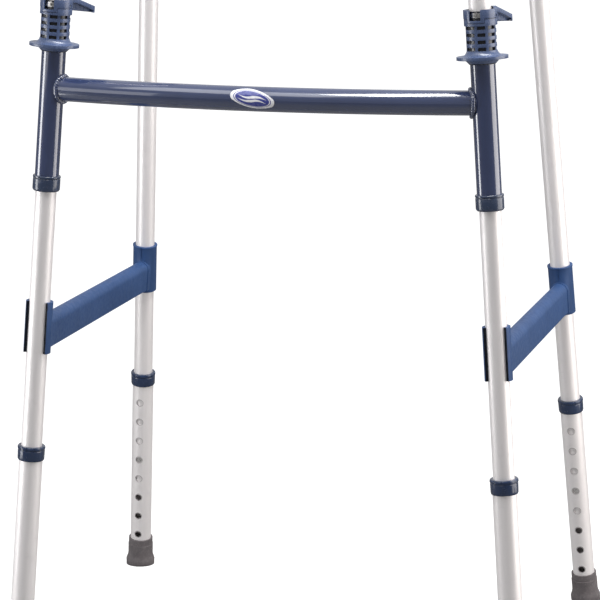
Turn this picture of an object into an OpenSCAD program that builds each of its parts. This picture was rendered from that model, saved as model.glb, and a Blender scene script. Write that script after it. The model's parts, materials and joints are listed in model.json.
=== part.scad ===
// Folding walking frame: a curved cross tube welded to two hinge sleeves, a bent side frame
// turning in each sleeve, a telescopic foot on every leg, and a push-lever lock over each hinge.
// Z is up, the floor is z = 0, the cross tube is at the front (-Y) and X is symmetrical.
// Units are millimetres.

/* [Stance] */
// Height of the cross tube's centre line above the floor
bar_height = 644; // [630:1:660]
// Distance between the two hinge axes at the height of the cross tube
hinge_spacing = 458.8; // [440:0.1:480]
// Outward slope of both side frames in degrees
splay = 4.1; // [3:0.1:5]
// Turn of each side frame away from straight back in degrees
toe = 0.8; // [0:0.1:2]
// Distance between front and rear leg at the height of the cross tube
leg_spacing = 338.5; // [320:0.5:360]
// Backward slope of the rear legs in degrees
rear_lean = 9.4; // [8:0.1:11]
// Height of the top rail's centre line above the cross tube, along the front leg
rail_rise = 261; // [240:1:280]
// Radius of the two bends of a side frame
bend_radius = 70; // [60:1:80]

/* [Tubes] */
// Outside diameter of the side frame tube
leg_d = 22.4; // [22:0.1:22.6]
// Wall thickness of the side frame tube
leg_wall = 1.4; // [1.2:0.1:1.6]
// Outside diameter of cross tube, hinge sleeves and extensions
outer_d = 25.4; // [25.2:0.1:25.6]
// Radial gap between a leg and the tube around it
slide_gap = 0.1; // [0.05:0.01:0.1]
// How far the cross tube bows forward at its middle
bar_bow = 32; // [25:1:36]

/* [Leg extensions] */
// Height of the collar's top edge above the floor, along the leg
collar_top = 260.3; // [258:0.1:263]
// Height of the collar
collar_height = 15.7; // [15:0.1:18]
// Outside diameter of the collar
collar_d = 29.8; // [29:0.1:31]
// Height of the top adjustment hole above the floor, along the leg
first_hole = 222.6; // [220:0.1:223]
// Number of adjustment holes
hole_count = 8; // [6:1:8]
// Distance between adjustment holes
hole_pitch = 25.4; // [25.4:0.1:25.4]
// Diameter of an adjustment hole
hole_d = 8; // [7.8:0.1:8.4]
// Hole that holds the button, counted from the top
button_hole = 4; // [4:1:4]
// Height of the lower end of each leg above the floor, along the leg
leg_end = 113.5; // [112:0.5:114]

/* [Rubber tips] */
// Height of a tip along its leg
tip_height = 36.6; // [34:0.2:38]
// Diameter of the tip's body
tip_d = 30.6; // [30:0.2:32]
// Diameter of the tip's spread foot
tip_foot_d = 35.2; // [34:0.2:37]
// Thickness of rubber under the tube
tip_sole = 8; // [6:0.5:8]

/* [Side brace] */
// Height of the front clip
clip_height = 55.6; // [54:0.2:60]
// Distance of the clip's lower edge below the cross tube, along the front leg
clip_drop = 282.6; // [278:0.1:282.6]
// Half of the clip's open angle in degrees
clip_open = 55; // [45:1:65]
// Thickness of the clip and socket walls
clip_wall = 3.3; // [2.5:0.1:4]
// Height of the brace beam
beam_height = 33.4; // [31:0.2:36]
// Width of the brace beam
beam_width = 19; // [16:0.5:21]
// Distance of the beam's top below the cross tube
beam_drop = 246; // [244:0.5:248]

/* [Release units] */
// Turn of both release units about the hinge axis in degrees
unit_turn = 10; // [0:1:15]
// Height of the underside of the flange above the cross tube
flange_z = 44.4; // [43:0.2:46]
// Diameter of the flange
flange_d = 52; // [48:0.5:56]
// Diameter of the ribbed grip
grip_d = 30.6; // [29:0.2:31.6]
// Diameter of the lever collar
lever_d = 34; // [33:0.2:34.4]
// Distance from the hinge axis to the end of the lever
lever_reach = 66; // [62:1:70]
// Width of the lever
lever_w = 21; // [18:0.5:22]
// Turn of the lever when it is pushed, in degrees
lever_travel = 7; // [5:0.5:7]

/* [Hand grips] */
// Length of a hand grip
grip_length = 124; // [110:1:126]
// Diameter of a hand grip
hand_d = 33; // [30:0.5:35]

/* [Hidden] */
$fn = 96;
hinge_y = -208.6;
leg_r = leg_d / 2;
leg_bore_r = leg_r - leg_wall;
outer_r = outer_d / 2;
outer_bore_r = leg_r + slide_gap;
snug = 0.05;
bend_step = 0.08;
front_floor = bar_height / cos(splay);
rear_run = leg_spacing + front_floor * tan(rear_lean);
rear_floor = front_floor / cos(rear_lean);
bar_half = hinge_spacing / 2 - outer_r + 3;
bar_radius = (pow(bar_half, 2) + pow(bar_bow, 2)) / (2 * bar_bow);
sleeve_bottom = -105.3;
sleeve_top = 51;
bush_bottom = -107.9;
bush_height = 16.4;
bush_d = 29.4;
flange_t = 3.2;
tube_top = collar_top - 2.7;
tube_bottom = tip_sole + 0.3;
button_d = 7.6;
button_along = first_hole - (button_hole - 1) * hole_pitch;
rear_at_rail = leg_spacing - rail_rise * tan(rear_lean);
rail_end = rear_at_rail - bend_radius * tan((90 - rear_lean) / 2);
clip_r = leg_r + snug + clip_wall;
ring_z = 80.9;
step_z = 85.2;
lever_top = 94;
pivot_z = 87.5;
pin_z = 88.6;
lever_r = lever_d / 2;
lever_bore_r = 13.8;
neck_r = 12.7;
grip_r = grip_d / 2;

// ---------- frames of reference ----------

// Right-hand geometry as it is, left-hand geometry mirrored
module on_side(side) {
  mirror([side < 0 ? 1 : 0, 0, 0]) children();
}

// Z runs up the hinge axis from the height of the cross tube, X points outward
module on_hinge(side) {
  on_side(side)
    translate([hinge_spacing / 2, hinge_y, bar_height])
      rotate([0, -splay, 0])
        children();
}

// The plane of a side frame: Y runs backward, Z up the front leg
module on_side_plane(side) {
  on_hinge(side) rotate([0, 0, -toe]) children();
}

// Z runs up a leg from the floor, and -Y is the side of the leg that holds the button
module on_leg(side, rear) {
  on_side_plane(side)
    if (rear) {
      translate([0, rear_run, -front_floor]) rotate([rear_lean, 0, 0]) children();
    } else {
      translate([0, 0, -front_floor]) rotate([0, 0, 180]) children();
    }
}

// Both release units are the same moulding, turned the same way about their hinge axes
module on_unit(side) {
  translate([side * hinge_spacing / 2, hinge_y, bar_height])
    rotate([0, -side * splay, 0])
      rotate([0, 0, -unit_turn])
        children();
}

// ---------- shared shapes ----------

module ring(outer, inner, height) {
  difference() {
    cylinder(r = outer, h = height);
    translate([0, 0, -1]) cylinder(r = inner, h = height + 2);
  }
}

module on_floor() {
  difference() {
    children();
    translate([-1000, -1000, -100]) cube([2000, 2000, 100]);
  }
}

// A bar along the curve of the cross tube
module bar_curve(radius, half_length) {
  sweep = asin(half_length / bar_radius);
  translate([0, hinge_y - bar_bow + bar_radius, bar_height])
    rotate([0, 0, -90 - sweep])
      rotate_extrude(angle = 2 * sweep, $fn = 360)
        translate([bar_radius, 0]) circle(r = radius);
}

module sleeve_core(side, radius) {
  on_hinge(side) translate([0, 0, -60]) cylinder(r = radius, h = 110);
}

// ---------- front frame ----------

module cross_tube() {
  color("midnightblue")
    difference() {
      bar_curve(outer_r, bar_half);
      bar_curve(outer_r - 1.6, bar_half + 2);
      for (side = [-1, 1]) sleeve_core(side, outer_r + snug);
    }
}

module weld_beads() {
  color("midnightblue")
    for (side = [-1, 1])
      difference() {
        intersection() {
          bar_curve(outer_r + 2.6, bar_half);
          sleeve_core(side, outer_r + 3.8);
        }
        sleeve_core(side, outer_r + snug);
        bar_curve(outer_r + snug, bar_half + 1);
      }
}

// An oval of four arcs: two long ones of the given radius and a round at each end
module oval(half_length, half_height, end_r) {
  reach = half_length - end_r;
  arc_r = (pow(half_height, 2) + pow(reach, 2) - pow(end_r, 2)) / (2 * (half_height - end_r));
  join = reach * arc_r / (arc_r - end_r);
  intersection() {
    translate([0, arc_r - half_height]) circle(r = arc_r, $fn = 360);
    translate([0, half_height - arc_r]) circle(r = arc_r, $fn = 360);
    square([2 * join, 4 * half_height], center = true);
  }
  for (x = [-reach, reach]) translate([x, 0]) circle(r = end_r);
}

// An oval plate wrapped on the front of the cross tube
module badge() {
  color("white")
    intersection() {
      difference() {
        bar_curve(outer_r + 0.45, 60);
        bar_curve(outer_r + snug, 62);
      }
      translate([0.3, hinge_y - 90, bar_height + 1.3])
        rotate([-90, 0, 0])
          rotate([0, 0, 10])
            linear_extrude(height = 90 - bar_bow) oval(23.3, 9.1, 5);
    }
}

module hinge_sleeve(side) {
  color("midnightblue")
    on_hinge(side)
      translate([0, 0, sleeve_bottom])
        ring(outer_r, outer_bore_r, sleeve_top - sleeve_bottom);
}

// Plastic bush capping the lower end of a sleeve, with a raised lip at its top
module sleeve_bush(side) {
  r = bush_d / 2;
  inner = outer_r + snug;
  lip = bush_height - 2.6;
  color("steelblue")
    on_hinge(side)
      translate([0, 0, bush_bottom])
        rotate_extrude()
          polygon([
            [outer_bore_r, 0], [r - 1.4, 0], [r - 0.2, 1.8], [r - 0.2, lip - 0.8], [r - 0.7, lip - 0.4],
            [r - 0.7, lip], [r, lip + 0.4], [r, bush_height - 0.5], [r - 0.5, bush_height],
            [inner, bush_height], [inner, 2.5], [outer_bore_r, 2.5]
          ]);
}

// ---------- release units ----------

module grip_grooves() {
  rib_angles = [0, 42, 88, 140, 186, 232, 285, 360];
  for (row = [0 : 3])
    for (i = [0 : len(rib_angles) - 2])
      translate([0, 0, 53.1 + 7.1 * row])
        rotate([0, 0, rib_angles[i] + 6 - 90])
          rotate_extrude(angle = rib_angles[i + 1] - rib_angles[i] - 11)
            translate([grip_r - 2.3, 0]) square([5, 3.5]);
}

module release_housing(side) {
  flange_top = flange_z + flange_t;
  color("slategray")
    on_unit(side)
      difference() {
        union() {
          translate([0, 0, flange_z - 5]) cylinder(r1 = 13.4, r2 = 18, h = 5);
          translate([0, 0, flange_z]) cylinder(r = flange_d / 2, h = flange_t);
          rotate_extrude() {
            translate([0, flange_top - 1]) square([grip_r, step_z - 0.4 - flange_top + 1]);
            difference() {
              translate([grip_r - 1, flange_top - 1]) square([8, 8]);
              translate([grip_r + 7, flange_top + 7]) circle(r = 7);
            }
          }
          translate([0, 0, 78]) cylinder(r = lever_r - 0.3, h = step_z - 78.4);
          translate([0, 0, 78]) cylinder(r = neck_r, h = 14.5);
        }
        translate([0, 0, flange_z - 6]) cylinder(r = outer_r + snug, h = sleeve_top - flange_z + 6.1);
        cylinder(r = leg_r + 0.3, h = 200);
        grip_grooves();
        difference() {
          translate([-9.5, -20, ring_z - 0.4]) cube([19, 20, 10]);
          cylinder(r = neck_r, h = 200);
        }
        translate([0, 0, pin_z]) rotate([90, 0, 0]) cylinder(r = 3.1, h = 20);
        translate([-20, 0, pivot_z]) rotate([0, 90, 0]) cylinder(r = 1.3 + snug, h = 40);
      }
}

// Collar with a paddle to the rear, turning about the two pivot pins
module release_lever(side) {
  color("slategray")
    on_unit(side)
      difference() {
        union() {
          translate([0, 0, ring_z]) cylinder(r = lever_r, h = lever_top - ring_z);
          lever_paddle();
        }
        translate([0, 0, 60]) cylinder(r = lever_bore_r, h = 60);
        lever_clearance();
        translate([-6, -20, 83.3]) cube([12, 20, 20]);
        translate([-20, 0, pivot_z]) rotate([0, 90, 0]) cylinder(r = 1.4, h = 40);
      }
}

// A bar of the given half width whose outline, seen from the side, is drawn in Y and Z
module lever_bar(half_width, outline) {
  translate([-half_width, 0, 0])
    rotate([90, 0, 90])
      linear_extrude(height = 2 * half_width) polygon(outline);
}

// Round end of the paddle: a drum about the middle of its last part
module lever_end(radius) {
  translate([0, lever_reach - 22, 60]) cylinder(r = radius, h = 60);
}

// A sloping plate with a lip round its end and a narrower web under it
module lever_paddle() {
  lever_bar(lever_w / 2, [[0, 90], [0, 95.5], [16, 96], [44, 88.8], [44, 84.6], [22, 89.6]]);
  intersection() {
    lever_bar(lever_w / 2, [[40, 85.6], [40, 89.8], [44, 88.8], [70, 82.1], [70, 77.6], [69, 77.6]]);
    lever_end(22);
  }
  difference() {
    intersection() {
      lever_bar(lever_w / 2, [[52, 77], [52, 86.7], [70, 82.1], [70, 77]]);
      lever_end(22);
    }
    lever_end(19.6);
  }
  lever_bar(5.5, [[18.8, 81.4], [18.8, 91], [44, 86], [lever_reach - 1.4, 80], [lever_reach - 1.4, 77]]);
}

// Room for the housing's shoulder over the lever's whole travel
module lever_clearance() {
  for (turn = [0, lever_travel])
    translate([0, 0, pivot_z])
      rotate([turn, 0, 0])
        translate([-30, 0, step_z - pivot_z - 40])
          cube([60, 17.4, 40]);
  translate([9.1, -20, step_z - 40]) cube([20, 20.1, 40]);
  translate([-29.1, -20, step_z - 40]) cube([20, 20.1, 40]);
}

module lever_pins(side) {
  color("silver")
    on_unit(side)
      for (x = [-1, 1])
        translate([x < 0 ? -16.3 : 11.7, 0, pivot_z])
          rotate([0, 90, 0]) cylinder(r = 1.3, h = 4.6);
}

// Spring-loaded pin that holds the side frame open
module lock_pin(side) {
  color("silver")
    on_unit(side)
      translate([0, 0, pin_z])
        rotate([90, 0, 0]) {
          translate([0, 0, leg_r + 0.35]) cylinder(r = 3, h = 0.75);
          translate([0, 0, leg_r + 1]) cylinder(r = 1.5, h = 3.4);
        }
}

// Leaf spring over the lock pin, bent round the front of the housing's neck
module lock_spring(side) {
  color("silver")
    on_unit(side)
      difference() {
        translate([0, 0, pin_z - 2.4])
          rotate([0, 0, -90 - 23])
            rotate_extrude(angle = 46)
              translate([neck_r + snug, 0]) square([0.5, 4.8]);
        translate([0, 0, pin_z]) rotate([90, 0, 0]) cylinder(r = 1.57, h = 20);
      }
}

// ---------- side frames ----------

// The bent line of a side frame, filled with a round section of the given radius.
// Bending draws the tube a hair thinner.
module side_run(radius, extra) {
  front_bottom = leg_end - front_floor;
  translate([0, 0, front_bottom - extra])
    cylinder(r = radius, h = rail_rise - bend_radius - front_bottom + extra);
  translate([0, bend_radius, rail_rise - bend_radius])
    rotate([0, -90, 0])
      rotate([0, 0, -90])
        rotate_extrude(angle = 90)
          translate([bend_radius, 0]) circle(r = radius - bend_step);
  translate([0, bend_radius, rail_rise])
    rotate([-90, 0, 0]) cylinder(r = radius, h = rail_end - bend_radius);
  translate([0, rail_end, rail_rise - bend_radius])
    rotate([90, 0, 90])
      rotate([0, 0, rear_lean])
        rotate_extrude(angle = 90 - rear_lean)
          translate([bend_radius, 0]) circle(r = radius - bend_step);
  translate([0, rear_run, -front_floor])
    rotate([rear_lean, 0, 0])
      translate([0, 0, leg_end - extra])
        cylinder(r = radius, h = rear_straight_top() - leg_end + extra);
}

// Length of the rear leg from the floor to the start of its bend
function rear_straight_top() =
  rear_floor + rail_rise / cos(rear_lean) - bend_radius * tan((90 - rear_lean) / 2);

module button_holes(radius) {
  translate([0, 0, button_along]) rotate([90, 0, 0]) cylinder(r = radius, h = 30);
}

module side_tube(side) {
  color("gainsboro")
    difference() {
      on_side_plane(side) side_run(leg_r, 0);
      on_side_plane(side) side_run(leg_bore_r, 1);
      for (rear = [false, true]) on_leg(side, rear) button_holes(button_d / 2 + 0.1);
      on_unit(side) translate([0, 0, pin_z]) rotate([90, 0, 0]) cylinder(r = 3.4, h = 30);
    }
}

module hand_grip(side) {
  grip_start = rail_end - grip_length - 2;
  color("dimgray")
    on_side_plane(side)
      translate([0, grip_start, rail_rise])
        rotate([-90, 0, 0])
          difference() {
            union() {
              cylinder(r = hand_d / 2, h = grip_length);
              cylinder(r = hand_d / 2 + 1.5, h = 5);
              translate([0, 0, grip_length - 5]) cylinder(r = hand_d / 2 + 1.5, h = 5);
            }
            translate([0, 0, -1]) cylinder(r = leg_r + snug, h = grip_length + 2);
          }
}

// Section of the brace beam: flat sides under a rounded top
module beam_section(width, height) {
  translate([-width / 2, -height]) square([width, height - width / 2]);
  translate([0, -width / 2]) circle(r = width / 2);
}

// Rigid link between the legs of a side: an open clip in front, a beam that is hollow from below,
// and a closed socket behind with a seam above the beam
module side_brace(side) {
  socket_bottom = rear_floor - clip_drop / cos(rear_lean);
  socket_height = clip_height / cos(rear_lean) + 1;
  socket_r = clip_r - 0.4;
  beam_back = leg_spacing + beam_drop * tan(rear_lean) + 3;
  seam_start = (front_floor - beam_drop + 4 + socket_r * sin(rear_lean)) / cos(rear_lean);
  color("royalblue")
    on_side_plane(side)
      difference() {
        union() {
          translate([0, 0, -clip_drop]) cylinder(r = clip_r, h = clip_height);
          translate([0, rear_run, -front_floor])
            rotate([rear_lean, 0, 0])
              translate([0, 0, socket_bottom]) {
                cylinder(r = socket_r, h = socket_height);
                translate([0, 0, socket_height - 1.8]) cylinder(r = socket_r + 0.5, h = 1.8);
              }
          translate([0, 6, -beam_drop])
            rotate([90, 0, 180])
              linear_extrude(height = beam_back - 6) beam_section(beam_width, beam_height);
          translate([0, beam_back - socket_r - 6, -beam_drop + 1])
            rotate([90, 0, 180])
              linear_extrude(height = 9) beam_section(beam_width + 1.6, beam_height + 1.6);
        }
        translate([0, clip_r, -beam_drop])
          rotate([90, 0, 180])
            linear_extrude(height = beam_back - 2 * clip_r - 3)
              translate([0, -3]) beam_section(beam_width - 6, beam_height);
        translate([0, 0, -clip_drop - 10]) cylinder(r = leg_r + snug, h = clip_height + 20);
        translate([0, rear_run, -front_floor])
          rotate([rear_lean, 0, 0])
            translate([0, 0, socket_bottom - 20]) {
              cylinder(r = leg_r + snug, h = socket_height + 30);
              translate([-0.6, -socket_r - 1, seam_start - socket_bottom + 20]) cube([1.2, 1.8, 40]);
            }
        translate([0, 0, -clip_drop - 10])
          linear_extrude(height = clip_height + 20)
            polygon([[0, 0], [-40 * tan(clip_open), -40], [40 * tan(clip_open), -40]]);
      }
}

// Snap button that holds an extension at its length, with its face curved like the leg
module snap_button(side, rear) {
  color("silver")
    on_leg(side, rear)
      translate([0, 0, button_along]) {
        intersection() {
          rotate([90, 0, 0]) translate([0, 0, 5.2]) cylinder(r = button_d / 2, h = leg_r);
          translate([0, 0, -10]) cylinder(r = leg_r - 0.1, h = 20);
        }
        rotate([90, 0, 0]) translate([0, 0, 5.2]) cylinder(r = button_d / 2 + 0.9, h = 1.2);
      }
}

// Bent leaf spring behind a snap button
module button_spring(side, rear) {
  color("silver")
    on_leg(side, rear)
      translate([-3, 0, button_along])
        rotate([90, 0, 90])
          linear_extrude(height = 6)
            polygon([
              [-5.1, 6], [-5.1, -6], [2, -45], [9, -12], [8.4, -12], [2, -41], [-4.5, -5], [-4.5, 6]
            ]);
}

// ---------- leg extensions ----------

module extension_tube(side, rear) {
  color("lightgray")
    on_leg(side, rear)
      difference() {
        translate([0, 0, tube_bottom]) ring(outer_r, outer_bore_r, tube_top - tube_bottom);
        for (i = [0 : hole_count - 1])
          translate([0, 0, first_hole - i * hole_pitch])
            rotate([90, 0, 0]) cylinder(r = hole_d / 2, h = 30);
      }
}

// Plastic collar with a notched lip that runs on the leg
module extension_collar(side, rear) {
  r = collar_d / 2;
  inner = outer_r + snug;
  lip = collar_height - 3.6;
  color("steelblue")
    on_leg(side, rear)
      translate([0, 0, collar_top - collar_height])
        difference() {
          rotate_extrude()
            polygon([
              [inner, 0], [r - 1, 0], [r - 0.5, 1.2], [r - 0.3, lip - 1.4], [r - 0.8, lip - 0.7],
              [r - 0.8, lip - 0.2], [r, lip + 0.5], [r, collar_height - 1.2], [r - 0.8, collar_height],
              [outer_bore_r, collar_height], [outer_bore_r, collar_height - 2.5],
              [inner, collar_height - 2.5]
            ]);
          for (i = [0 : 11])
            rotate([0, 0, 30 * i]) translate([r - 0.5, -0.7, lip + 0.6]) cube([2, 1.4, 5]);
        }
}

module rubber_tip(side, rear) {
  r = tip_d / 2;
  foot = tip_foot_d / 2;
  color("gray")
    on_floor()
      on_leg(side, rear)
        difference() {
          rotate_extrude()
            polygon([
              [0, -8], [foot - 0.4, -8], [foot, 7], [r + 0.6, 12], [r, 15], [r, 28.5],
              [r - 0.5, 29], [r - 0.5, tip_height], [0, tip_height]
            ]);
          translate([0, 0, tip_sole]) cylinder(r = outer_r + snug, h = tip_height);
        }
}

cross_tube();
weld_beads();
badge();
hinge_sleeve(-1);  // left_hinge_sleeve
hinge_sleeve(1);  // right_hinge_sleeve
sleeve_bush(-1);  // left_sleeve_bush
sleeve_bush(1);  // right_sleeve_bush
release_housing(-1);  // left_release_housing
release_housing(1);  // right_release_housing
lever_pins(-1);  // left_lever_pins
lever_pins(1);  // right_lever_pins
release_lever(-1);  // left_release_lever
release_lever(1);  // right_release_lever
lock_pin(-1);  // left_lock_pin
lock_pin(1);  // right_lock_pin
lock_spring(-1);  // left_lock_spring
lock_spring(1);  // right_lock_spring
side_tube(-1);  // left_side_tube
side_tube(1);  // right_side_tube
hand_grip(-1);  // left_hand_grip
hand_grip(1);  // right_hand_grip
side_brace(-1);  // left_side_brace
side_brace(1);  // right_side_brace
snap_button(-1, false);  // left_front_button
snap_button(-1, true);  // left_rear_button
snap_button(1, false);  // right_front_button
snap_button(1, true);  // right_rear_button
button_spring(-1, false);  // left_front_button_spring
button_spring(-1, true);  // left_rear_button_spring
button_spring(1, false);  // right_front_button_spring
button_spring(1, true);  // right_rear_button_spring
extension_tube(-1, false);  // left_front_extension
extension_tube(-1, true);  // left_rear_extension
extension_tube(1, false);  // right_front_extension
extension_tube(1, true);  // right_rear_extension
extension_collar(-1, false);  // left_front_collar
extension_collar(-1, true);  // left_rear_collar
extension_collar(1, false);  // right_front_collar
extension_collar(1, true);  // right_rear_collar
rubber_tip(-1, false);  // left_front_tip
rubber_tip(-1, true);  // left_rear_tip
rubber_tip(1, false);  // right_front_tip
rubber_tip(1, true);  // right_rear_tip
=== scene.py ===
import json
import math

import bmesh
import bpy
import numpy as np
from mathutils import Matrix, Vector

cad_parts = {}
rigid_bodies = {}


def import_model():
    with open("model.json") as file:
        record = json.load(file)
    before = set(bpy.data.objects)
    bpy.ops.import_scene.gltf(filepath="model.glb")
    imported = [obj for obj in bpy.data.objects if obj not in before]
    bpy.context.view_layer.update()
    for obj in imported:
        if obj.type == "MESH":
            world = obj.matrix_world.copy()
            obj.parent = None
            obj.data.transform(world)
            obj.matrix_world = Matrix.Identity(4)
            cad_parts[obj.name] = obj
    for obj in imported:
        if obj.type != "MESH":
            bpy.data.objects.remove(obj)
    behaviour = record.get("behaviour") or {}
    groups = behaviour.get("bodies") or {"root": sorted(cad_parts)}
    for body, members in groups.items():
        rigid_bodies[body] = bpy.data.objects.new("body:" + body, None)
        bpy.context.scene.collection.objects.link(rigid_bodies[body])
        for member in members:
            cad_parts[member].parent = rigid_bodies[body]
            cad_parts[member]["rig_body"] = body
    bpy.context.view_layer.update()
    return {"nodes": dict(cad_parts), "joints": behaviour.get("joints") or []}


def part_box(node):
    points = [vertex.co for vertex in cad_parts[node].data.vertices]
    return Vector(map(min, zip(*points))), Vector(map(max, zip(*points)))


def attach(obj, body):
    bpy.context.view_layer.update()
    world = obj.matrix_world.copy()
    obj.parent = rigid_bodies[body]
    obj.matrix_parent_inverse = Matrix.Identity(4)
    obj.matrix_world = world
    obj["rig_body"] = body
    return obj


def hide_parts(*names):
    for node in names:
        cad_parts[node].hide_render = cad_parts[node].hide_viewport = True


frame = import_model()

SIDES = {"left": -1, "right": 1}
LEGS = ("front", "rear")
JOINTS = {j["name"]: j for j in frame["joints"]}
scene = bpy.context.scene
scene.view_settings.view_transform = "Standard"
scene.view_settings.look = "None"


# ---------- frames of reference, from the joints and the CAD boxes ----------

def unit(v):
    return Vector(v).normalized()


def leg_axis(side, leg):
    """The direction up a leg: its foot slides down along the joint's axis."""
    return -unit(JOINTS[f"{side}_{leg}_foot_slide"]["axis"])


def coords(node):
    return np.array([v.co for v in frame["nodes"][node].data.vertices], float)


def middle(node):
    low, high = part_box(node)
    return (low + high) / 2


def basis(z, x):
    """A rotation whose Z is z and whose X is x, made square to it."""
    z = unit(z)
    x = unit(Vector(x) - z * Vector(x).dot(z))
    y = z.cross(x)
    return Matrix((x, y, z)).transposed().to_4x4()


# ---------- meshes ----------

def link(name, verts, faces):
    mesh = bpy.data.meshes.new(name)
    mesh.from_pydata([tuple(v) for v in verts], [], faces)
    mesh.update()
    obj = bpy.data.objects.new(name, mesh)
    scene.collection.objects.link(obj)
    for p in mesh.polygons:
        p.use_smooth = True
    return obj


def lathe(name, profile, count, place, shape):
    """A closed outline of (radius, height) points turned about Z; shape moves each point for its angle."""
    verts, faces = [], []
    n = len(profile)
    for i in range(count):
        a = 2 * math.pi * i / count
        for r, z in profile:
            r, z = shape(r, z, a)
            verts.append(place @ Vector((r * math.cos(a), r * math.sin(a), z)))
    for i in range(count):
        k = (i + 1) % count
        for j in range(n):
            m = (j + 1) % n
            faces.append((i * n + j, k * n + j, k * n + m, i * n + m))
    return link(name, verts, faces)


# ---------- node helpers ----------

DRAWN_OUT = 0.02  # how far marks along a tube are squeezed, so that they run long


class Graph:
    """A material's node tree, with the shader's fixed numbers set on its own sockets."""

    def __init__(self, name, **fixed):
        self.material = bpy.data.materials.new(name)
        self.material.use_nodes = True
        self.tree = self.material.node_tree
        self.shader = self.tree.nodes["Principled BSDF"]
        for key, value in fixed.items():
            self.shader.inputs[key.replace("_", " ")].default_value = value
        coordinates = self.node("ShaderNodeTexCoord")
        self.place = coordinates.outputs["Object"]
        self.facing = coordinates.outputs["Normal"]

    def node(self, kind, **settings):
        n = self.tree.nodes.new(kind)
        for key, value in settings.items():
            setattr(n, key, value)
        return n

    def link(self, a, b):
        self.tree.links.new(a, b)

    def along(self, axis):
        """Object coordinates turned so that Z runs along axis and squeezed along it, for drawn-out marks."""
        turn = self.node("ShaderNodeMapping")
        rotation = basis(axis, (1, 0.01, 0)).to_3x3().transposed().to_euler()
        turn.inputs["Rotation"].default_value = rotation
        self.link(self.place, turn.inputs["Vector"])
        scale = self.node("ShaderNodeMapping")
        scale.inputs["Scale"].default_value = (1, 1, DRAWN_OUT)
        self.link(turn.outputs[0], scale.inputs["Vector"])
        return scale.outputs[0]

    def noise(self, scale, detail=3.0, roughness=0.5, vector=None):
        n = self.node("ShaderNodeTexNoise")
        n.inputs["Scale"].default_value = scale
        n.inputs["Detail"].default_value = detail
        n.inputs["Roughness"].default_value = roughness
        self.link(vector or self.place, n.inputs["Vector"])
        return n.outputs["Fac"]

    def cells(self, scale):
        n = self.node("ShaderNodeTexVoronoi")
        n.inputs["Scale"].default_value = scale
        self.link(self.place, n.inputs["Vector"])
        return n.outputs["Distance"]

    def ramp(self, value, stops):
        """A blend between two colours, each given as (place, colour)."""
        n = self.node("ShaderNodeValToRGB")
        for e, (at, colour) in zip(n.color_ramp.elements, stops):
            e.position = at
            e.color = (*colour, 1)
        self.link(value, n.inputs[0])
        return n.outputs[0]

    def span(self, value, low, high, from_low=0.0, from_high=1.0):
        n = self.node("ShaderNodeMapRange")
        n.inputs["From Min"].default_value = from_low
        n.inputs["From Max"].default_value = from_high
        n.inputs["To Min"].default_value = low
        n.inputs["To Max"].default_value = high
        self.link(value, n.inputs["Value"])
        return n.outputs[0]

    def math(self, operation, a, b=None):
        n = self.node("ShaderNodeMath", operation=operation)
        for socket, value in zip(n.inputs, (a, b)):
            if value is None:
                continue
            if isinstance(value, (int, float)):
                socket.default_value = value
            else:
                self.link(value, socket)
        return n.outputs[0]

    def mix(self, factor, a, b):
        n = self.node("ShaderNodeMix", data_type="RGBA")
        for socket, value in ((n.inputs[0], factor), (n.inputs[6], a), (n.inputs[7], b)):
            if isinstance(value, tuple):
                socket.default_value = (*value, 1)
            elif isinstance(value, (int, float)):
                socket.default_value = value
            else:
                self.link(value, socket)
        return n.outputs[2]

    def from_point(self, point):
        """Object coordinates counted from a point."""
        n = self.node("ShaderNodeVectorMath", operation="SUBTRACT")
        self.link(self.place, n.inputs[0])
        n.inputs[1].default_value = point
        return n.outputs[0]

    def dot(self, vector, axis):
        n = self.node("ShaderNodeVectorMath", operation="DOT_PRODUCT")
        self.link(vector, n.inputs[0])
        n.inputs[1].default_value = axis
        return n.outputs["Value"]

    def radius(self, point, axis):
        """Distance from the line through a point along a unit axis."""
        cross = self.node("ShaderNodeVectorMath", operation="CROSS_PRODUCT")
        self.link(self.from_point(point), cross.inputs[0])
        cross.inputs[1].default_value = axis
        length = self.node("ShaderNodeVectorMath", operation="LENGTH")
        self.link(cross.outputs[0], length.inputs[0])
        return length.outputs["Value"]

    def split(self):
        n = self.node("ShaderNodeSeparateXYZ")
        self.link(self.place, n.inputs[0])
        return n.outputs

    def bump(self, *layers):
        """Layers of (height, strength, distance), one on another."""
        normal = None
        for height, strength, distance in layers:
            n = self.node("ShaderNodeBump")
            n.inputs["Strength"].default_value = strength
            n.inputs["Distance"].default_value = distance
            self.link(height, n.inputs["Height"])
            if normal:
                self.link(normal, n.inputs["Normal"])
            normal = n.outputs[0]
        self.link(normal, self.shader.inputs["Normal"])

    def colour(self, value):
        self.link(value, self.shader.inputs["Base Color"])

    def roughness(self, value):
        self.link(value, self.shader.inputs["Roughness"])


# ---------- materials ----------

HOLE_PITCH, HOLE_RADIUS = 0.0254, 0.0040
HOLES_ABOVE, HOLES_BELOW = 3, 4
RAIL_FROM = 0.835  # above this height a side tube bends into its rail


def hole_row(side, leg):
    """Where an extension's holes are: the snap button sits in one of them."""
    axis = leg_axis(side, leg)
    centre = middle(f"{side}_{leg}_extension")
    button = middle(f"{side}_{leg}_button") - centre
    one = button.dot(axis)
    out = unit(button - axis * one)
    first = one + (HOLES_ABOVE + 0.5) * HOLE_PITCH
    last = one - (HOLES_BELOW + 0.5) * HOLE_PITCH
    return centre, axis, out, one, first, last


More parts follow.
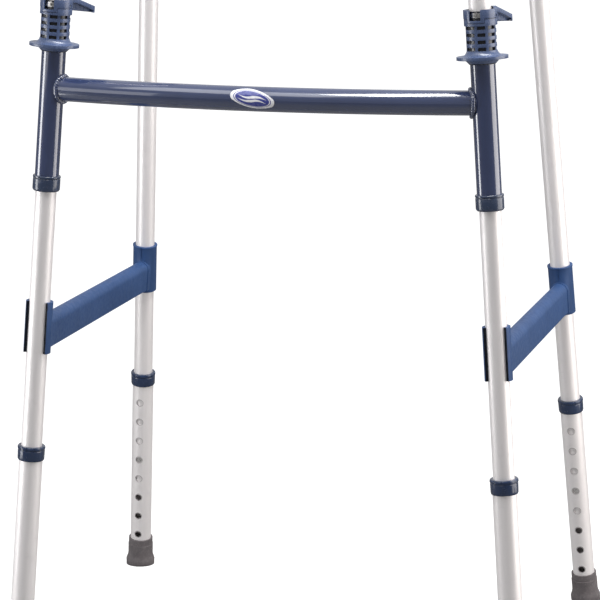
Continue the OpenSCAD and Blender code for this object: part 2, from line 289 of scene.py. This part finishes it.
def painted_steel():
    g = Graph("painted_steel", Metallic=0.0, IOR=1.55, Coat_Weight=1.0, Coat_Roughness=0.05, Coat_IOR=1.78)
    flake = g.noise(2600, 2)
    cloud = g.noise(22, 4)
    base = g.ramp(cloud, [(0.3, (0.026, 0.040, 0.105)), (0.7, (0.032, 0.048, 0.122))])
    g.colour(g.mix(g.span(flake, 0, 0.4, 0.55, 0.75), base, (0.07, 0.085, 0.16)))
    g.roughness(g.span(g.noise(240, 4), 0.20, 0.26, 0.3, 0.7))
    g.bump((g.noise(620, 2), 0.06, 0.0003))
    return g.material


def anodised_tube(name, axes, holes=None):
    """Satin aluminium drawn along its length: one axis, or those of front leg, rear leg and rail.

    holes is (middle of the tube, its axis, the way the holes face, place of one hole, first, last),
    and paints a dark ring round each adjustment hole, a painted shade for the hole's wall."""
    g = Graph(name, Metallic=0.4, IOR=1.5)
    vector = g.along(axes[0])
    if len(axes) == 3:
        _, y, z = g.split()
        behind = g.math("GREATER_THAN", y, 0.0)
        above = g.math("GREATER_THAN", z, RAIL_FROM)
        n = g.node("ShaderNodeMix", data_type="VECTOR")
        g.link(behind, n.inputs[0])
        g.link(vector, n.inputs[4])
        g.link(g.along(axes[1]), n.inputs[5])
        m = g.node("ShaderNodeMix", data_type="VECTOR")
        g.link(above, m.inputs[0])
        g.link(n.outputs[1], m.inputs[4])
        g.link(g.along(axes[2]), m.inputs[5])
        vector = m.outputs[1]
    lines = g.noise(900, 3, 0.6, vector)
    broad = g.noise(160, 3, 0.5, vector)
    marks = g.noise(70, 5, 0.6)
    base = g.ramp(broad, [(0.25, (0.86, 0.83, 0.835)), (0.75, (0.93, 0.90, 0.90))])
    tone = g.mix(g.span(marks, 0, 0.3, 0.58, 0.75), base, (0.75, 0.72, 0.725))
    if holes:
        centre, axis, out, one, first, last = holes
        place = g.from_point(centre)
        along = g.dot(place, axis)
        step = g.math("FLOORED_MODULO", g.math("ADD", along, HOLE_PITCH / 2 - one), HOLE_PITCH)
        near = g.math("SUBTRACT", step, HOLE_PITCH / 2)
        across = g.dot(place, axis.cross(out))
        squares = g.math("ADD", g.math("MULTIPLY", near, near), g.math("MULTIPLY", across, across))
        away = g.math("SQRT", squares)
        # painted shade: a dark ring just outside each hole's radius stands for the shade on the hole's wall
        edge = g.span(away, 0.5, 0, HOLE_RADIUS + 0.0004, HOLE_RADIUS + 0.0010)
        inside = g.math("MULTIPLY", g.math("GREATER_THAN", along, last), g.math("LESS_THAN", along, first))
        facing = g.math("GREATER_THAN", g.dot(place, out), 0)
        rim = g.math("MULTIPLY", g.math("MULTIPLY", edge, inside), facing)
        tone = g.mix(rim, tone, (0.16, 0.15, 0.155))
    g.colour(tone)
    g.roughness(g.span(lines, 0.38, 0.52, 0.3, 0.7))
    g.bump((lines, 0.12, 0.0002), (broad, 0.05, 0.0004))
    return g.material


def moulded(name, low, high, rough, worn, recess=None, cut=None, **fixed):
    """Moulded plastic: a fine grain, faint flow marks and a few paler scuffs.

    recess is (point, axis, radius): nearer to that line than the radius, the colour is painted near-black as
    painted shade in the recess.
    cut is (point, axis, radius, way): the same painted shade, but only on the faces that look that way."""
    g = Graph(name, Metallic=0.0, IOR=1.46, **fixed)
    cloud = g.noise(35, 4)
    scuff = g.noise(160, 6, 0.7)
    base = g.ramp(cloud, [(0.3, low), (0.7, high)])
    tone = g.mix(g.span(scuff, 0, 0.4, 0.66, 0.78), base, worn)
    if recess:
        point, axis, radius = recess
        # painted shade: near-black in the slots, inside the radius about the hinge axis
        recess_shade = g.span(g.radius(point, axis), 1, 0, radius - 0.0008, radius)
        tone = g.mix(recess_shade, tone, (0.004, 0.006, 0.014))
    if cut:
        point, axis, radius, way = cut
        # painted shade: faces that look that way near the axis are painted near-black
        near = g.math("LESS_THAN", g.radius(point, axis), radius)
        looks = g.math("GREATER_THAN", g.dot(g.facing, way), 0.7)
        tone = g.mix(g.math("MULTIPLY", near, looks), tone, (0.004, 0.006, 0.013))
    g.colour(tone)
    g.roughness(g.span(g.noise(220, 4), rough - 0.06, rough + 0.08, 0.3, 0.7))
    g.bump((g.noise(1500, 2), 0.10, 0.0003), (cloud, 0.03, 0.001))
    return g.material


def tip_rubber():
    g = Graph("tip_rubber", Metallic=0.0, IOR=1.5)
    cloud = g.noise(60, 5, 0.6)
    dust = g.noise(420, 5, 0.7)
    base = g.ramp(cloud, [(0.3, (0.085, 0.075, 0.080)), (0.7, (0.135, 0.120, 0.125))])
    g.colour(g.mix(g.span(dust, 0, 0.5, 0.52, 0.72), base, (0.24, 0.225, 0.22)))
    g.roughness(g.span(dust, 0.62, 0.85, 0.3, 0.7))
    g.bump((g.noise(1800, 3), 0.25, 0.0004), (cloud, 0.15, 0.001))
    return g.material


def grip_vinyl():
    g = Graph("grip_vinyl", Metallic=0.0, IOR=1.5, Sheen_Weight=0.15)
    pebble = g.cells(620)
    cloud = g.noise(30, 4)
    base = g.ramp(cloud, [(0.3, (0.030, 0.031, 0.034)), (0.7, (0.045, 0.046, 0.050))])
    g.colour(g.mix(g.span(pebble, 0, 0.5, 0.0, 0.5), base, (0.065, 0.066, 0.070)))
    g.roughness(g.span(g.noise(200, 4), 0.5, 0.68, 0.3, 0.7))
    g.bump((pebble, 0.35, 0.0004), (cloud, 0.05, 0.001))
    return g.material


def bright_steel():
    g = Graph("bright_steel", Metallic=1.0)
    marks = g.noise(500, 5, 0.65)
    base = g.ramp(marks, [(0.3, (0.60, 0.59, 0.58)), (0.7, (0.78, 0.77, 0.76))])
    g.colour(base)
    g.roughness(g.span(marks, 0.16, 0.34, 0.3, 0.7))
    g.bump((g.noise(1600, 3), 0.10, 0.0002))
    return g.material


def badge_print(centre, turn, long_half, high_half):
    """A white oval with a blue field, a fine line inside its edge and two pale waves, and no lettering."""
    g = Graph("badge_print", Metallic=0.0, IOR=1.5, Coat_Weight=0.8, Coat_Roughness=0.05)
    x, _, z = g.split()
    dx = g.math("SUBTRACT", x, centre.x)
    dz = g.math("SUBTRACT", z, centre.z)
    u = g.math("ADD", g.math("MULTIPLY", dx, math.cos(turn)), g.math("MULTIPLY", dz, math.sin(turn)))
    v = g.math("SUBTRACT", g.math("MULTIPLY", dz, math.cos(turn)), g.math("MULTIPLY", dx, math.sin(turn)))
    u = g.math("DIVIDE", u, long_half)
    v = g.math("DIVIDE", v, high_half)
    reach = g.math("SQRT", g.math("ADD", g.math("MULTIPLY", u, u), g.math("MULTIPLY", v, v)))
    inside = g.math("SUBTRACT", 1.0, reach)
    field = g.math("GREATER_THAN", inside, 0.14)
    line = g.math("LESS_THAN", g.math("ABSOLUTE", g.math("SUBTRACT", inside, 0.20)), 0.02)
    wave = g.math("MULTIPLY", g.math("SINE", g.math("MULTIPLY", u, 5.0)), 0.14)
    off = g.math("SUBTRACT", v, wave)
    taper = g.math("MULTIPLY", g.math("SUBTRACT", 0.66, g.math("ABSOLUTE", u)), 0.26)
    upper = g.math("LESS_THAN", g.math("ABSOLUTE", g.math("SUBTRACT", off, 0.17)), taper)
    lower = g.math("LESS_THAN", g.math("ABSOLUTE", g.math("ADD", off, 0.21)), taper)
    gap = g.math("GREATER_THAN", g.math("ABSOLUTE", g.math("ADD", off, 0.02)), 0.06)
    swoosh = g.math("MULTIPLY", g.math("MAXIMUM", upper, lower), gap)
    mottle = g.noise(300, 3)
    blue = g.ramp(mottle, [(0.3, (0.045, 0.055, 0.26)), (0.7, (0.060, 0.075, 0.31))])
    white = g.ramp(mottle, [(0.3, (0.80, 0.80, 0.84)), (0.7, (0.90, 0.90, 0.92))])
    inner = g.mix(g.math("MAXIMUM", swoosh, line), blue, white)
    g.colour(g.mix(field, white, inner))
    g.roughness(g.span(mottle, 0.22, 0.34, 0.3, 0.7))
    g.bump((field, 0.25, 0.0003), (g.noise(900, 2), 0.05, 0.0002))
    return g.material


# ---------- stage, lights and camera ----------

def stage():
    floor = link("floor", [(-30, -30, 0), (30, -30, 0), (30, 30, 0), (-30, 30, 0)], [(0, 1, 2, 3)])
    g = Graph("floor_paper", Roughness=0.9)
    g.colour(g.ramp(g.noise(3, 3), [(0.3, (0.18, 0.18, 0.18)), (0.7, (0.21, 0.21, 0.21))]))
    g.shader.inputs["Emission Color"].default_value = (1, 1, 1, 1)
    seen = g.node("ShaderNodeLightPath").outputs["Is Camera Ray"]
    g.link(g.span(seen, 0.02, 1.0), g.shader.inputs["Emission Strength"])
    floor.data.materials.append(g.material)

    world = bpy.data.worlds.new("studio")
    scene.world = world
    world.use_nodes = True
    tree = world.node_tree
    back = tree.nodes["Background"]
    back.inputs["Color"].default_value = (1, 1, 1, 1)
    where = tree.nodes.new("ShaderNodeTexCoord")
    parts = tree.nodes.new("ShaderNodeSeparateXYZ")
    tree.links.new(where.outputs["Generated"], parts.inputs[0])
    level = tree.nodes.new("ShaderNodeMapRange")
    level.interpolation_type = "SMOOTHSTEP"
    level.inputs["From Min"].default_value = -0.7
    level.inputs["From Max"].default_value = 0.3
    level.inputs["To Min"].default_value = 0.27
    level.inputs["To Max"].default_value = 0.60
    tree.links.new(parts.outputs["Y"], level.inputs["Value"])
    tree.links.new(level.outputs[0], back.inputs["Strength"])


def softbox(name, at, target, size, watts, tint=(1, 1, 1)):
    data = bpy.data.lights.new(name, "AREA")
    data.shape = "RECTANGLE"
    data.size, data.size_y = size
    data.energy = watts
    data.color = tint
    lamp = bpy.data.objects.new(name, data)
    scene.collection.objects.link(lamp)
    lamp.location = at
    lamp.rotation_mode = "QUATERNION"
    lamp.rotation_quaternion = (Vector(target) - Vector(at)).to_track_quat("-Z", "Y")
    lamp.visible_camera = False


CAMERA_PLACE = (0.7031, -2.7495, 0.9262)
CAMERA_YAW, CAMERA_TILT, CAMERA_ROLL = 14.63, 10.62, 0.37
CAMERA_LENS = 155.2


def camera():
    yaw, tilt, roll = (math.radians(a) for a in (CAMERA_YAW, CAMERA_TILT, CAMERA_ROLL))
    forward = Vector((-math.sin(yaw) * math.cos(tilt), math.cos(yaw) * math.cos(tilt), -math.sin(tilt)))
    right = Vector((math.cos(yaw), math.sin(yaw), 0))
    up = right.cross(forward)
    right, up = (
        right * math.cos(roll) + up * math.sin(roll),
        up * math.cos(roll) - right * math.sin(roll),
    )
    data = bpy.data.cameras.new("camera")
    data.sensor_width = 36
    data.lens = CAMERA_LENS
    data.clip_start, data.clip_end = 0.05, 100
    cam = bpy.data.objects.new("camera", data)
    scene.collection.objects.link(cam)
    turn = Matrix((right, up, -forward)).transposed().to_4x4()
    cam.matrix_world = Matrix.Translation(CAMERA_PLACE) @ turn
    scene.camera = cam


stage()
camera()
softbox("key_right", (1.15, 0.0, 0.6), (0.2, -0.1, 0.5), (0.9, 1.5), 13, (1.0, 0.955, 0.915))
softbox("key_left", (-1.05, -0.5, 0.35), (-0.2, 0.0, 0.35), (0.35, 0.9), 6)
softbox("front_left", (-1.9, -1.9, 0.95), (0.0, -0.2, 0.6), (1.2, 1.0), 4)
softbox("overhead", (0.30, -0.34, 1.9), (0.10, -0.25, 0.6), (1.25, 0.34), 26)
softbox("top_fill", (-0.45, -1.0, 1.9), (0.0, -0.2, 0.5), (1.2, 0.9), 7)

# ---------- finishes on the CAD nodes ----------

UNIT_SHADE_RADIUS = 0.0148  # inside this radius the slots of a release unit get painted shade, near-black
CLIP_SHADE_RADIUS = 0.0160  # inside this radius the forward faces of a brace's clip get painted shade, near-black
GROUPS = {
    "painted_steel": ["cross_tube", "weld_beads", "{s}_hinge_sleeve"],
    "collar_plastic": ["{s}_front_collar", "{s}_rear_collar"],
    "bush_plastic": ["{s}_sleeve_bush"],
    "unit_plastic_{s}": ["{s}_release_housing", "{s}_release_lever"],
    "blue_plastic_{s}": ["{s}_side_brace"],
    "bright_steel": [
        "{s}_lever_pins", "{s}_lock_pin", "{s}_lock_spring",
        "{s}_front_button", "{s}_rear_button", "{s}_front_button_spring", "{s}_rear_button_spring",
    ],
    "tip_rubber": ["{s}_front_tip", "{s}_rear_tip"],
    "grip_vinyl": ["{s}_hand_grip"],
}

FINISHES = {
    "painted_steel": painted_steel(),
    "collar_plastic": moulded(
        "collar_plastic", (0.009, 0.023, 0.066), (0.014, 0.031, 0.082), 0.22, (0.035, 0.06, 0.12),
        Coat_Weight=0.5, Coat_Roughness=0.08,
    ),
    "bush_plastic": moulded(
        "bush_plastic", (0.026, 0.040, 0.080), (0.034, 0.050, 0.097), 0.24, (0.06, 0.08, 0.14),
        Coat_Weight=0.6, Coat_Roughness=0.08,
    ),
    "bright_steel": bright_steel(),
    "tip_rubber": tip_rubber(),
    "grip_vinyl": grip_vinyl(),
}
for side in SIDES:
    hinge = JOINTS[f"{side}_side_fold"]
    FINISHES[f"unit_plastic_{side}"] = moulded(
        f"unit_plastic_{side}", (0.058, 0.085, 0.172), (0.072, 0.104, 0.205), 0.28, (0.13, 0.17, 0.27),
        recess=(Vector(hinge["pos_m"]), unit(hinge["axis"]), UNIT_SHADE_RADIUS), Specular_IOR_Level=0.8,
    )
    FINISHES[f"blue_plastic_{side}"] = moulded(
        f"blue_plastic_{side}", (0.026, 0.061, 0.160), (0.035, 0.077, 0.195), 0.46, (0.07, 0.11, 0.22),
        cut=(Vector(hinge["pos_m"]), unit(hinge["axis"]), CLIP_SHADE_RADIUS, Vector((0, -1, 0))),
        Specular_IOR_Level=0.22,
    )


def finish_node(node, material):
    obj = frame["nodes"][node]
    obj.data.materials.clear()
    obj.data.materials.append(material)


def rounded(node, material, width, angle=32.0):
    """A copy of a CAD node with its edges rounded, which stands for the node and rides on its body."""
    source = frame["nodes"][node]
    bm = bmesh.new()
    bm.from_mesh(source.data)
    bmesh.ops.remove_doubles(bm, verts=bm.verts, dist=2e-6)
    bmesh.ops.dissolve_limit(bm, angle_limit=math.radians(0.5), verts=bm.verts, edges=bm.edges)
    sharp = [
        e for e in bm.edges
        if len(e.link_faces) == 2 and e.calc_face_angle(0) > math.radians(angle)
    ]
    bmesh.ops.bevel(
        bm, geom=sharp, offset=width, offset_type="OFFSET", segments=2, profile=0.6,
        affect="EDGES", clamp_overlap=True,
    )
    bmesh.ops.recalc_face_normals(bm, faces=bm.faces)
    mesh = bpy.data.meshes.new(node + "_shape")
    bm.to_mesh(mesh)
    bm.free()
    for p in mesh.polygons:
        p.use_smooth = True
    mesh.set_sharp_from_angle(angle=math.radians(40))
    piece = bpy.data.objects.new(node + "_shape", mesh)
    scene.collection.objects.link(piece)
    mesh.materials.append(material)
    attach(piece, source["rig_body"])
    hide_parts(node)


for key, patterns in GROUPS.items():
    for pattern in patterns:
        for side in SIDES:
            finish_node(pattern.format(s=side), FINISHES[key.format(s=side)])

SLOTS = {"bush_plastic": "collar_plastic"}
ROUNDED = {
    "{s}_release_housing": ("unit_plastic", 0.00035),
    "{s}_release_lever": ("unit_plastic", 0.0005),
    "{s}_sleeve_bush": ("bush_plastic", 0.0003),
    "{s}_front_collar": ("collar_plastic", 0.0003),
    "{s}_rear_collar": ("collar_plastic", 0.0003),
    "{s}_side_brace": ("blue_plastic", 0.0006),
    "{s}_front_tip": ("tip_rubber", 0.0007),
    "{s}_rear_tip": ("tip_rubber", 0.0007),
}

for side in SIDES:
    for pattern, (slot, width) in ROUNDED.items():
        material = FINISHES.get(slot) or FINISHES[f"{slot}_{side}"]
        slot = SLOTS.get(slot, slot)
        rounded(pattern.format(s=side), material, width)

for side in SIDES:
    front, rear = leg_axis(side, "front"), leg_axis(side, "rear")
    rail = Vector((0, 1, 0))
    finish_node(f"{side}_side_tube", anodised_tube(f"anodised_{side}_side", [front, rear, rail]))
    for leg in LEGS:
        tube = anodised_tube(f"anodised_{side}_{leg}", [leg_axis(side, leg)], hole_row(side, leg))
        finish_node(f"{side}_{leg}_extension", tube)

BADGE_TURN = math.radians(-10)
BADGE_LONG_HALF, BADGE_HIGH_HALF = 0.0233, 0.0091
finish_node("badge", badge_print(middle("badge"), BADGE_TURN, BADGE_LONG_HALF, BADGE_HIGH_HALF))

# ---------- weld beads ----------

TUBE_RADIUS = 0.0127
BAR_OVERLAP = 0.003  # how far the cross tube's ends reach past the sleeves' surface
BEAD_RADIUS = 0.0021
BEAD_POINTS, BEAD_SIDES, BEAD_RIPPLES = 180, 14, 30


def weld_bead(side):
    """A rippled bead along the line where the cross tube meets a hinge sleeve."""
    hinge = Vector(JOINTS[f"{side}_side_fold"]["pos_m"])
    up = leg_axis(side, "front")
    half = abs(hinge.x) - TUBE_RADIUS + BAR_OVERLAP
    bow = hinge.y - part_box("cross_tube")[0].y - TUBE_RADIUS
    radius = (half ** 2 + bow ** 2) / (2 * bow)
    middle_y = hinge.y - bow + radius
    flip = SIDES[side]

    def on_bar(a, turn, r):
        out = Vector((flip * math.sin(a), -math.cos(a), 0))
        ring = out * math.cos(turn) + Vector((0, 0, 1)) * math.sin(turn)
        return Vector((0, middle_y, hinge.z)) + out * radius + ring * r

    def from_sleeve(p):
        d = p - hinge
        return (d - up * d.dot(up)).length

    count, around = BEAD_POINTS, BEAD_SIDES
    line = []
    for i in range(count):
        turn = 2 * math.pi * i / count
        corner = abs(math.sin(turn)) ** 1.5
        low, high = half / radius * 0.8, half / radius
        bar_r = TUBE_RADIUS - 0.0002 + 0.0013 * corner
        sleeve_r = TUBE_RADIUS + 0.0003 + 0.0009 * corner
        for _ in range(40):
            a = (low + high) / 2
            if from_sleeve(on_bar(a, turn, bar_r)) > sleeve_r:
                low = a
            else:
                high = a
        line.append(on_bar(low, turn, bar_r))
    verts, faces = [], []
    for i, p in enumerate(line):
        way = unit(line[(i + 1) % count] - line[i - 1])
        bar_centre = Vector((p.x, middle_y - radius * math.cos(p.x / radius), hinge.z))
        frame_z = basis(way, p - bar_centre)
        thick = BEAD_RADIUS * (1 + 0.07 * math.sin(2 * math.pi * BEAD_RIPPLES * i / count))
        for j in range(around):
            b = 2 * math.pi * j / around
            verts.append(p + frame_z @ Vector((thick * math.cos(b), thick * math.sin(b), 0)))
            k, m = (i + 1) % count, (j + 1) % around
            faces.append((i * around + j, i * around + m, k * around + m, k * around + j))
    bead = link(f"{side}_weld_bead", verts, faces)
    bead.data.materials.append(FINISHES["painted_steel"])
    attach(bead, "front_frame")
    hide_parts("weld_beads")


for side in SIDES:
    weld_bead(side)

# ---------- hand grips ----------

GRIP_BODY, GRIP_RIM, GRIP_BORE = 0.0165, 0.01797, 0.01128
SWELLS, RIDGES, RIBS = 4, 34, 28


def grip_profile(half_length, body_r, rim_r, bore_r):
    """The closed outline of a hand grip's wall: four finger swells between two round-edged rims."""
    rim, edge = 0.005, 0.0012
    outline = []
    for end in (-1, 1):
        corner = [
            (rim_r - edge * (1 - math.sin(t)), half_length - edge * (1 - math.cos(t)))
            for t in (0.0, 0.4, 0.8, 1.2, math.pi / 2)
        ]
        foot = [
            (rim_r, half_length - rim + edge),
            (rim_r - 0.5 * edge, half_length - rim + 0.2 * edge),
            (body_r + 0.0002, half_length - rim - 0.3 * edge),
        ]
        side = [(bore_r, half_length)] + corner + foot
        outline.append([(r, end * h) for r, h in side])
    steps = 96
    reach = half_length - rim - 0.001
    body = []
    for i in range(steps + 1):
        h = -reach + 2 * reach * i / steps
        swell = math.cos(2 * math.pi * SWELLS * (h + reach) / (2 * reach))
        ridge = math.cos(2 * math.pi * RIDGES * (h + reach) / (2 * reach))
        body.append((body_r - 0.0007 - 0.0005 * swell + 0.0001 * ridge, h))
    return outline[0] + body + outline[1][::-1]


def flutes(r, z, a):
    """Shallow ribs along the grip, which fade out at the rims."""
    fade = min(1.0, max(0.0, (GRIP_RIM - r) / 0.001))
    if r < GRIP_BODY * 0.9:
        return r, z
    return r - 0.00018 * (1 - math.cos(RIBS * a)) * fade, z


for side in SIDES:
    points = coords(f"{side}_hand_grip")
    centre = Vector((points.min(0) + points.max(0)) / 2)
    spread = np.linalg.eigh(np.cov((points - points.mean(0)).T))[1][:, 2]
    axis = unit(spread) * (1 if spread[1] > 0 else -1)
    along = [(Vector(p) - centre).dot(axis) for p in points]
    place = Matrix.Translation(centre) @ basis(axis, (0, 0, 1))
    profile = grip_profile(max(along), GRIP_BODY, GRIP_RIM, GRIP_BORE)
    grip = lathe(f"{side}_grip_sleeve", profile, 112, place, flutes)
    grip.data.materials.append(FINISHES["grip_vinyl"])
    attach(grip, f"{side}_side_frame")
    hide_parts(f"{side}_hand_grip")
